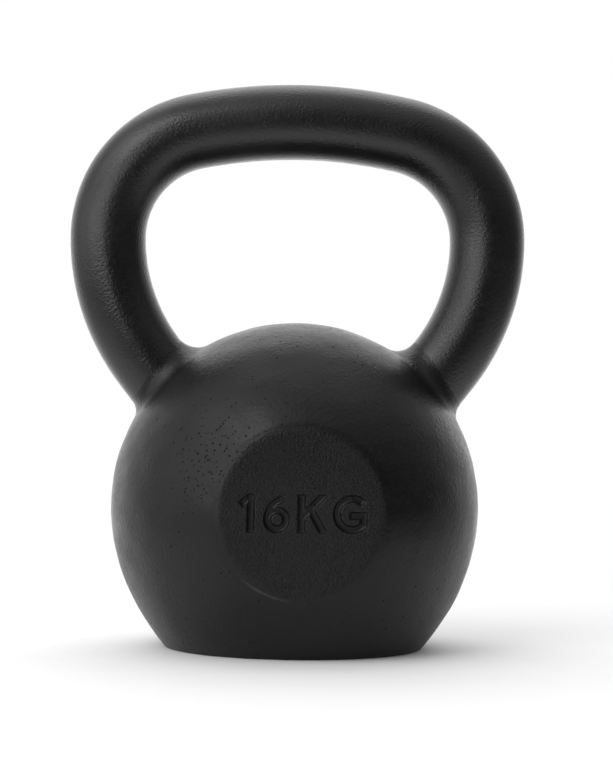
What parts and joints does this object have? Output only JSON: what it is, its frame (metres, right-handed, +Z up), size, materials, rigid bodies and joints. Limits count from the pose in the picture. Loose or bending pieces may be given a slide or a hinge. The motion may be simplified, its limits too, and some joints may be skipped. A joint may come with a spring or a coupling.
{
  "type": "kettlebell",
  "caption": "Round cast-iron kettlebell with a wide looped grip bar welded to the ball, a flat base and an engraved weight mark on a flat round face.",
  "frame": {"origin": "centre of the flat base, on the floor", "axes": "+Z up through the ball to the grip; -Y out of the face with the weight mark; +X to the right seen from that face, along the grip"},
  "size_m": [0.2, 0.1445, 0.247],
  "materials": {
    "coated_iron": "black powder coat over sand-cast iron, satin, with fine pinholes",
    "coated_bar": "black powder coat, satin, with a fine orange-peel texture",
    "coated_weld": "black powder coat over weld metal, satin",
    "bare_ballast": "iron shot set in resin, dull grey",
    "coated_plug": "black powder coat over pressed steel, satin"
  },
  "bodies": {
    "root": {"ball_casting": "coated_iron", "handle": "coated_bar", "left_horn_weld": "coated_weld", "right_horn_weld": "coated_weld", "ballast": "bare_ballast", "base_plug": "coated_plug"}
  },
  "joints": []
}
